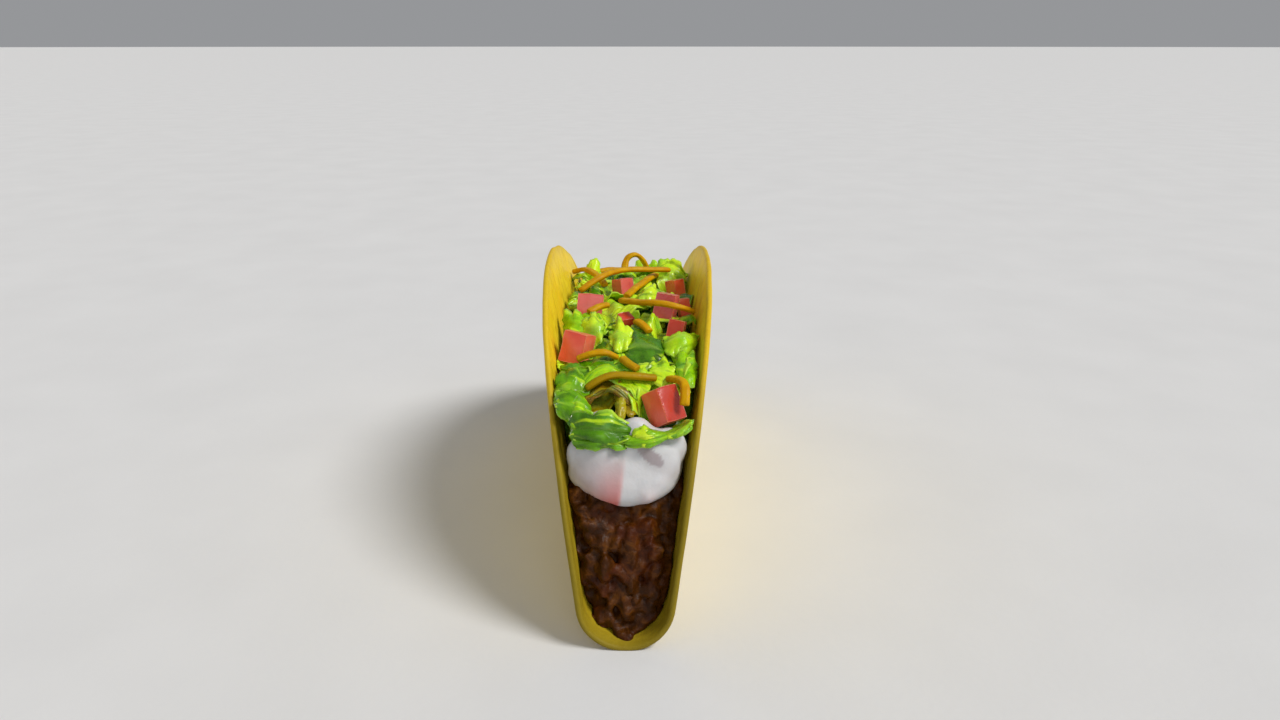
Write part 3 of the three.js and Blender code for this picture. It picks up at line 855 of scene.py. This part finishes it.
def leaf_between(rng, top, bottom, bulge, taper=0.5):
    """A leaf's middle surface with those upper and lower edges, bulging outwards, with narrowed
    ragged ends."""
    upper, lower = through(top), through(bottom)
    phase = rng.uniform(0, math.tau, 4)
    ragged = 1 + 0.07 * np.sin(2.2 * math.pi * ALONG + np.where(ACROSS < 0, phase[0], phase[1]))
    ragged += 0.03 * np.sin(5.3 * math.pi * ALONG + np.where(ACROSS < 0, phase[2], phase[3]))
    round_end = (1 - taper * np.abs(ALONG) ** 4) * ragged
    grid = (upper + lower) / 2 + (upper - lower) / 2 * (ACROSS * round_end)[..., None]
    row, column = LEAF_ROWS // 2, LEAF_COLUMNS // 2
    outward = np.cross(grid[-1, column] - grid[0, column], grid[row, -1] - grid[row, 0])
    outward /= np.linalg.norm(outward)
    return grid + outward * (bulge * (1 - ACROSS ** 2) * (1 - ALONG ** 2))[..., None]


def ruffled(rng, grid, ruffle, pleats, waves=2.0):
    """The leaf with frilled edges and soft pleats that run from end to end."""
    phase = rng.uniform(0, math.tau, 5)
    side = np.where(ACROSS < 0, phase[0], phase[1])
    edge = ACROSS ** 2
    wave = waves * math.pi * ALONG
    frill = edge * (np.sin(wave + side) + 0.3 * np.sin(2.7 * wave + phase[2]))
    pleat = np.sin(math.pi * (1.9 * ACROSS + 0.5 * ALONG) + phase[3]) * (1 - 0.6 * edge)
    pleat += 0.5 * np.sin(math.pi * (3.4 * ACROSS - 0.4 * ALONG) + phase[4])
    crumple = lumps(grid.reshape(-1, 3), 2.6, int(rng.integers(1000))).reshape(ALONG.shape)
    return grid + leaf_normals(grid) * (ruffle * frill + pleats * pleat + 0.3 * crumple)[..., None]


def leaf_normals(grid):
    normal = np.cross(np.gradient(grid, axis=0), np.gradient(grid, axis=1))
    return normal / np.maximum(np.linalg.norm(normal, axis=2, keepdims=True), 1e-9)


def leaf_solid(grid):
    """A thin closed leaf: both faces of the grid, joined round its edge."""
    rows, columns = grid.shape[:2]
    offset = leaf_normals(grid) * LEAF_THICKNESS / 2
    points = np.concatenate([(grid + offset).reshape(-1, 3), (grid - offset).reshape(-1, 3)])
    below = rows * columns
    index = np.arange(below).reshape(rows, columns)
    border = [*index[0], *index[1:, -1], *index[-1, -2::-1], *index[-2:0:-1, 0]]
    after = border[1:] + border[:1]
    rim = [[a, b, b + below, a + below] for a, b in zip(border, after)]
    faces = grid_faces(rows, columns).tolist()
    faces += grid_faces(rows, columns, first=below, flip=True).tolist()
    return points, faces + rim


def out_of_bank(y):
    """The direction straight out of the bank of lettuce, at a distance along the fold."""
    share = max(-0.93, min(0.93, y / BANK_HALF_LENGTH))
    out = np.array([0, share * BANK_HEIGHT / BANK_HALF_LENGTH * 2.2, math.sqrt(1 - share * share)])
    return out / np.linalg.norm(out)


def strand_middles(number):
    """Points along the middle line of a strand."""
    bm = cleaned_copy(f"cheese_{number}")
    corners = np.array([vertex.co[:] for vertex in bm.verts])
    bm.free()
    return np.array([corners[np.linalg.norm(corners - corner, axis=1) < SECTION_REACH].mean(axis=0)
                     for corner in corners[::4]])


def topping_spots():
    """Middle and radius of each die, and of short lengths of each strand."""
    spots = []
    for number in DICE:
        low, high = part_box(f"tomato_{number}")
        spots.append(((np.array(low) + np.array(high)) / 2 / MM, DIE_REACH))
    for number in STRANDS:
        spots.extend((middle, STRAND_REACH) for middle in strand_middles(number))
    return spots


# Towards the camera, and upwards as it sees it: leaves stay out of the way in front of a topping.
FRONT = np.array([0, -0.94, 0.34])
FRONT_UP = np.array([0, 0.34, 0.94])


def clear_of_toppings(points, spots):
    """The leaf's points, sunk where they would cover a topping from above or from the camera."""
    middle = points.mean(axis=0)
    for centre, radius in spots:
        if np.linalg.norm(middle - centre) > NEARBY:
            continue
        out = out_of_bank(centre[1])
        away = points - centre
        height = away @ out
        beside = np.linalg.norm(away - height[:, None] * out, axis=1)
        weight = fade(beside, radius + REACH_FADE, -REACH_FADE)
        points -= out * (np.clip(height + 0.45 * radius, 0, 6) * weight)[:, None]
        away = points - centre
        ahead = away @ FRONT
        height = away @ FRONT_UP
        weight = fade(np.abs(away[:, 0]), radius + REACH_FADE, -REACH_FADE) * fade(ahead, 9, -4)
        weight *= (ahead > 0) & (height < 6)
        points[:, 2] -= np.clip(height + 0.6 * radius, 0, 4) * weight
    return points


# Leaves placed one by one: the upper and the lower edge, each as the x, y and z of three points from
# left to right, then how far the leaf bulges, how deep its edges ruffle and its pleats go, and its tint
# from dark 0 to pale 1. A last number says how much its ends narrow, where that isn't 0.5.
PLACED_LEAVES = [
    # the broad dark leaf that hangs over the cream at the near end, and a frill under it
    ((-12.6, -57.2, 45.6, -6.2, -57.8, 47.4, 1.2, -58.0, 45.4),
     (-10.6, -60.8, 41.2, -4.8, -61.5, 40.8, 0.8, -61.0, 41.2), 1.4, 0.7, 0.5, 0.3, 0.25),
    ((-12.0, -59.4, 43.0, -5.5, -60.2, 42.8, 1.0, -60.0, 42.8),
     (-10.0, -61.4, 39.6, -5.0, -61.9, 40.4, 0.0, -61.5, 39.8), 0.7, 0.8, 0.2, 0.4, 0.3),
    # the band from below that leaf, up to the right under the big die
    ((-0.4, -60.2, 43.2, 6.6, -60.4, 44.2, 14.4, -58.6, 46.4),
     (0.0, -61.8, 40.4, 6.6, -61.8, 41.4, 13.8, -60.0, 43.6), 0.6, 0.6, 0.25, 0.56, 0.3),
    ((1.2, -60.2, 43.8, 3.6, -60.0, 45.0, 6.0, -60.4, 44.4),
     (1.8, -61.8, 40.8, 4.2, -62.2, 41.0, 6.2, -61.8, 41.8), 0.5, 0.4, 0.1, 0.9),
    ((8.8, -60.0, 44.4, 11.4, -59.4, 45.6, 14.0, -58.8, 46.6),
     (8.6, -61.6, 42.2, 11.0, -61.2, 42.8, 13.4, -60.2, 44.0), 0.4, 0.4, 0.1, 0.74),
    # the leaves that lap over the left wall
    ((-16.6, -46.0, 50.6, -13.0, -45.4, 51.8, -8.8, -47.5, 50.8),
     (-16.6, -53.0, 46.2, -13.0, -54.8, 45.6, -8.8, -53.6, 46.8), 1.6, 0.5, 0.35, 0.44),
    ((-16.4, -50.5, 48.6, -12.5, -51.4, 49.4, -8.2, -52.8, 48.2),
     (-15.6, -55.4, 45.6, -12.0, -58.4, 43.8, -8.2, -58.6, 43.8), 1.5, 0.5, 0.35, 0.46),
    ((-13.8, -53.5, 47.2, -10.4, -55.0, 47.8, -6.8, -56.2, 47.2),
     (-12.2, -58.0, 44.4, -9.8, -59.4, 43.2, -7.0, -59.4, 44.2), 1.0, 0.5, 0.25, 0.6),
    # the arch over the hollow and the bright leaf right of it
    ((-10.0, -47.6, 49.8, -3.8, -43.4, 52.2, 3.0, -49.0, 49.8),
     (-10.4, -53.0, 47.8, -4.2, -49.6, 52.0, 2.2, -55.2, 47.4), 0.7, 0.35, 0.2, 0.66),
    ((-1.6, -46.6, 51.2, 2.6, -45.4, 51.4, 5.8, -47.4, 50.6),
     (0.2, -52.4, 49.4, 2.4, -56.0, 46.6, 4.2, -53.4, 47.4), 0.9, 0.7, 0.3, 0.84),
    # the pale-edged leaf below the left die, and those under it
    ((-15.0, -38.8, 51.9, -9.3, -42.0, 52.0, -3.0, -40.4, 53.2),
     (-14.8, -44.6, 49.6, -8.4, -46.8, 49.4, -2.8, -44.4, 51.2), 0.8, 0.55, 0.2, 0.42),
    ((-14.8, -43.0, 50.6, -10.4, -43.4, 51.2, -6.6, -45.6, 50.8),
     (-15.0, -48.6, 48.4, -11.0, -49.4, 48.4, -6.4, -49.4, 48.8), 0.8, 0.7, 0.25, 0.34),
    # the big dark leaf in the middle of the slope, and the bright twisted one behind it
    ((-0.4, -32.0, 54.4, 4.0, -29.2, 55.2, 8.8, -33.0, 54.0),
     (-0.4, -40.2, 52.4, 3.7, -43.9, 51.0, 8.6, -39.8, 52.0), 1.3, 0.5, 0.25, 0.24),
    ((-4.2, -30.0, 56.6, -1.3, -28.6, 57.8, 1.2, -30.6, 56.4),
     (-4.0, -35.6, 53.4, -1.5, -37.6, 53.0, 0.6, -35.8, 53.6), 0.8, 0.9, 0.3, 0.9),
    # the upright pale leaves against the right wall, and pale frills between them and the dark leaf
    ((10.8, -40.2, 52.4, 13.6, -37.9, 53.4, 16.2, -37.9, 52.8),
     (11.2, -45.8, 49.8, 13.0, -49.0, 48.2, 15.8, -46.0, 48.8), 1.1, 0.6, 0.3, 0.58),
    ((8.4, -31.4, 55.2, 12.9, -30.0, 58.2, 16.8, -28.6, 58.0),
     (8.4, -37.8, 52.4, 12.2, -38.6, 51.8, 16.0, -36.0, 51.8), 1.3, 0.6, 0.3, 0.76),
    ((5.0, -41.4, 51.9, 8.2, -40.2, 52.2, 11.0, -41.4, 51.6),
     (5.0, -47.0, 49.4, 8.1, -48.2, 48.8, 10.4, -46.6, 49.4), 0.8, 0.8, 0.3, 0.84),
    # bright leaves behind and beside the left die
    ((-16.0, -19.5, 57.2, -13.2, -21.0, 58.4, -10.0, -22.5, 57.6),
     (-15.4, -26.4, 53.6, -11.9, -29.7, 53.4, -9.0, -28.8, 54.0), 1.0, 0.7, 0.3, 0.6),
    ((-11.0, -24.6, 56.6, -8.4, -24.0, 58.4, -5.8, -25.2, 57.4),
     (-10.3, -29.8, 53.8, -7.7, -32.8, 53.4, -5.6, -31.0, 54.0), 0.9, 0.6, 0.3, 0.88),
    ((-6.2, -15.4, 59.0, -3.8, -18.4, 58.2, -1.2, -22.4, 57.0),
     (-5.6, -20.6, 56.0, -3.8, -25.5, 54.8, -1.6, -29.0, 54.4), 0.7, 0.6, 0.2, 0.96),
    ((4.2, -17.4, 58.4, 6.2, -18.6, 58.2, 8.4, -22.4, 57.0),
     (4.8, -22.8, 55.4, 6.4, -29.0, 54.2, 8.9, -30.8, 53.8), 0.8, 0.7, 0.2, 0.8),
    ((2.3, -5.0, 59.0, 5.2, -3.0, 60.2, 7.8, -4.0, 59.0),
     (2.6, -9.6, 56.8, 5.1, -10.6, 56.4, 7.4, -8.6, 56.6), 0.9, 0.5, 0.2, 1.0),
    # tufts on the skyline
    ((-13.4, 26.0, 57.8, -11.0, 25.4, 60.2, -8.4, 26.0, 58.0),
     (-12.8, 22.6, 54.4, -11.0, 22.0, 54.2, -9.0, 22.6, 54.4), 0.8, 0.6, 0.2, 0.96),
    ((0.4, 31.0, 56.6, 4.8, 30.8, 58.0, 9.2, 30.0, 57.2),
     (0.8, 27.6, 53.4, 4.8, 27.2, 53.0, 9.0, 27.0, 53.2), 0.8, 0.9, 0.3, 0.8),
    ((6.8, 22.4, 57.8, 11.4, 22.8, 61.0, 16.4, 20.6, 58.0),
     (7.2, 18.4, 55.4, 11.4, 18.0, 54.8, 16.0, 17.6, 55.0), 0.8, 0.9, 0.3, 0.86),
]


# The leaves in the hollow, painted olive as painted shade, given in the same way.
HOLLOW_LEAVES = [
    ((-9.4, -48.0, 48.6, -6.0, -45.6, 50.2, -2.2, -45.6, 50.6),
     (-9.2, -54.6, 45.2, -5.6, -54.4, 44.8, -2.6, -54.4, 45.0), -0.9, 0.3, 0.25, 0.55),
    ((-2.6, -48.2, 50.8, 0.0, -49.0, 50.6, 2.6, -51.0, 49.4),
     (-2.4, -55.4, 45.6, 0.2, -56.0, 45.4, 2.4, -56.4, 45.6), -0.4, 0.3, 0.2, 0.4),
    ((-2.0, -50.6, 50.2, -0.9, -51.0, 50.4, 0.2, -50.8, 50.2),
     (-2.4, -57.4, 44.4, -1.2, -57.8, 44.4, -0.2, -57.0, 44.8), 0.5, 0.25, 0.1, 0.62),
    # the inner edge of the arch, painted amber as painted shade
    ((-9.6, -53.2, 46.6, -4.4, -51.8, 51.8, 2.2, -53.2, 47.8),
     (-8.0, -54.2, 45.8, -4.2, -53.2, 49.7, 0.6, -54.2, 46.4), 0.5, 0.05, 0.0, 0.02, 0.2),
]


def placed_leaf(rng, top, bottom, bulge, ruffle, pleats, tint, taper=0.5):
    grid = ruffled(rng, leaf_between(rng, top, bottom, bulge, taper), ruffle, pleats)
    return grid, tint, rng.uniform(0.0, 0.2)


def leaf_edge(half_length, across, ends, middle):
    """One edge of a level leaf, with the heights of its ends and its middle."""
    return (-half_length, across, ends, 0.0, across, middle, half_length, across, ends)


def scattered_leaf(rng, turn, x):
    """A leaf or a narrow shred lying on the bank, tilted and turned at random."""
    if rng.random() < 0.4:
        half_length, half_width = rng.uniform(4.6, 7.6), rng.uniform(1.3, 2.3)
    else:
        half_length, half_width = rng.uniform(3.6, 6.0), rng.uniform(2.4, 3.9)
    rise = rng.uniform(0.2, 1.8)
    top = leaf_edge(half_length, half_width, -rise, rise)
    bottom = leaf_edge(half_length, -half_width, -rise, rise)
    flat = leaf_between(rng, top, bottom, rng.uniform(-0.6, 1.4), 0.65)
    grid = ruffled(rng, flat, rng.uniform(0.4, 0.9), rng.uniform(0.1, 0.3), rng.uniform(1.2, 2.2))
    ahead = bank(turn + 0.1, x) - bank(turn - 0.1, x)
    lie = Euler((0.85 * math.atan2(ahead[2], ahead[1]), -0.03 * x, 0)).to_matrix()
    tilt = Euler((rng.uniform(-0.6, 0.6), rng.uniform(-0.5, 0.5), rng.uniform(0, math.tau))).to_matrix()
    centre = bank(turn, x) + out_of_bank(bank(turn, x)[1]) * rng.uniform(0.0, 1.9)
    tint = rng.choice([0.1, 0.35, 0.55, 0.7, 0.85, 1.0], p=[0.1, 0.18, 0.22, 0.22, 0.18, 0.1])
    # painted light: leaves on the crown of the bank are paler than those on its slopes
    tint += 0.2 * (abs(centre[1]) < 38)
    return grid @ np.array(lie @ tilt).T + centre, tint + rng.uniform(-0.06, 0.06), rng.uniform(0.0, 0.4)


# Strands that no other leaf reaches, and the small leaf under each of their ends: its half sizes, and
# how far its ends and its middle lie below the strand.
PROPPED_STRANDS = (1, 2, 3, 5, 6, 8)
PROP_HALF_LENGTH = 3.2
PROP_HALF_WIDTH = 2.2
PROP_ENDS = -2.4
PROP_MIDDLE = -0.9
PROP_DROP = np.array([0, 0, 0.3])


def propping_leaves():
    """A small domed leaf under both ends of each of those strands."""
    rng = np.random.default_rng(SEED + 9)
    leaves = []
    for number in PROPPED_STRANDS:
        middles = strand_middles(number)
        apart = np.linalg.norm(middles[:, None] - middles, axis=2)
        for end in middles[list(np.unravel_index(apart.argmax(), apart.shape))]:
            top, bottom = (leaf_edge(PROP_HALF_LENGTH, side * PROP_HALF_WIDTH, PROP_ENDS, PROP_MIDDLE)
                           for side in (1, -1))
            grid = ruffled(rng, leaf_between(rng, top, bottom, 1.0), 0.4, 0.1)
            leaves.append((grid + end - PROP_DROP, rng.uniform(0.55, 0.85), 0.1))
    return leaves


def beside_walls(points):
    """A leaf's points, moved sideways together by most of what reaches into the shell."""
    beyond = points[:, 0] - kept_inside(points, LEAF_GAP)[:, 0]
    points[:, 0] -= 0.85 * beyond[np.argmax(np.abs(beyond))]
    return points


def leaves_piece(name, leaves, spots, shades, **finish):
    """One piece of many leaves, each given as its grid, its tint and how much its ribs show."""
    grids, tints, ribs = zip(*leaves)
    parts = []
    for grid in grids:
        flat = clear_of_toppings(beside_walls(grid.reshape(-1, 3).copy()), spots)
        parts.append(leaf_solid(kept_inside(flat, LEAF_GAP).reshape(grid.shape)))
    each, sides = 2 * ALONG.size, 2 * len(parts)
    values = {"tint": np.repeat(tints, each), "ribs": np.repeat(ribs, each),
              "along": np.tile(ALONG.ravel(), sides), "across": np.tile(ACROSS.ravel(), sides)}
    material = leaf_material(name + "_leaf", shades, **finish)
    new_piece(name, *joined(parts), material, "lettuce", ["lettuce"], values)


def lettuce_leaves():
    rng = np.random.default_rng(SEED + 2)
    spots = topping_spots()
    leaves = [placed_leaf(rng, *spec) for spec in PLACED_LEAVES]
    for u, v in spread(rng, LEAF_COUNT):
        turn = 0.10 + u * (math.pi - 0.20)
        leaf = scattered_leaf(rng, turn, (2 * v - 1) * SCATTER_HALF_WIDTH)
        flat = leaf[0].reshape(-1, 3)
        away = np.linalg.norm(flat - HOLLOW[0], axis=1).min()
        at_foot = (flat[:, 1] < -50) & (flat[:, 2] < 43.5) & (np.abs(flat[:, 0]) > 9)
        if away > HOLLOW[1] and not at_foot.any():
            leaves.append(leaf)
    leaves_piece("lettuce_shreds", leaves + propping_leaves(), spots,
                 [(44, 86, 0), (76, 130, 0), (112, 174, 0), (160, 214, 0), (208, 244, 34)])
    # painted shade: the hollow's leaves are painted olive and amber in place of green, without gloss or
    # pale edges
    leaves_piece("lettuce_hollow", [placed_leaf(rng, *spec) for spec in HOLLOW_LEAVES], spots,
                 [(122, 88, 2), (146, 124, 2), (166, 152, 4), (184, 168, 10)], wetness=0.0, pale_edge=0.0)


# ---- stage, light and camera

def floor():
    bpy.ops.mesh.primitive_circle_add(vertices=96, radius=FLOOR_RADIUS, fill_type="NGON")
    plane = bpy.context.object
    plane.name = "floor"
    plane.data.materials.append(floor_material())


def distant_light(name, place, strength, softness, colour=(1, 1, 1)):
    """A light from far away in the direction of `place`, with its softness in degrees."""
    data = bpy.data.lights.new(name, "SUN")
    data.energy = strength
    data.angle = math.radians(softness)
    data.color = colour
    light = placed(name, data)
    light.location = place
    light.rotation_euler = (-Vector(place)).to_track_quat("-Z", "Y").to_euler()


def lights():
    world = bpy.data.worlds.new("studio")
    world.use_nodes = True
    background = world.node_tree.nodes["Background"]
    background.inputs["Color"].default_value = srgb(236, 238, 242)
    background.inputs["Strength"].default_value = 0.36
    bpy.context.scene.world = world
    distant_light("key", (1.05, -0.40, 1.32), strength=2.5, softness=20, colour=(1.0, 0.98, 0.95))
    distant_light("front", (0.20, -1.40, 0.75), strength=0.3, softness=30)
    distant_light("fill", (-1.30, 0.70, 0.08), strength=0.65, softness=8, colour=(1.0, 0.93, 0.82))


def camera():
    """The photograph's view, square to the taco's near end and looking down on it."""
    data = bpy.data.cameras.new("camera")
    data.sensor_width = SENSOR_WIDTH
    data.lens = SENSOR_WIDTH * PICTURE[1] / PICTURE[0] / (2 * math.tan(math.radians(VIEW_ANGLE / 2)))
    data.clip_start = 0.01
    view = placed("camera", data)
    view.location = CAMERA_PLACE
    view.rotation_euler = (math.radians(CAMERA_TILT), 0, 0)
    bpy.context.scene.camera = view


# ---- the scene

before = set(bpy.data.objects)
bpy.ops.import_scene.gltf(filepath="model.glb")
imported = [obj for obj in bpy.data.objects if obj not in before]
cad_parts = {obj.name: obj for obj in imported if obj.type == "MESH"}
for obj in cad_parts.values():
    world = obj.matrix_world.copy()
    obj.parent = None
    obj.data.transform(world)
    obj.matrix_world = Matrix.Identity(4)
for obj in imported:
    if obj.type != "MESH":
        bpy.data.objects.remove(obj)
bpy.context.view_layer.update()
bpy.context.scene.view_settings.view_transform = "Standard"

camera()
lights()
floor()
shell_piece()
beef_piece()
cream_piece()
lettuce_core()
lettuce_leaves()
TOMATO = tomato_material()
CHEESE = cheese_material()
for number in DICE:
    tomato_piece(number, TOMATO)
for number in STRANDS:
    strand_piece(number, CHEESE)
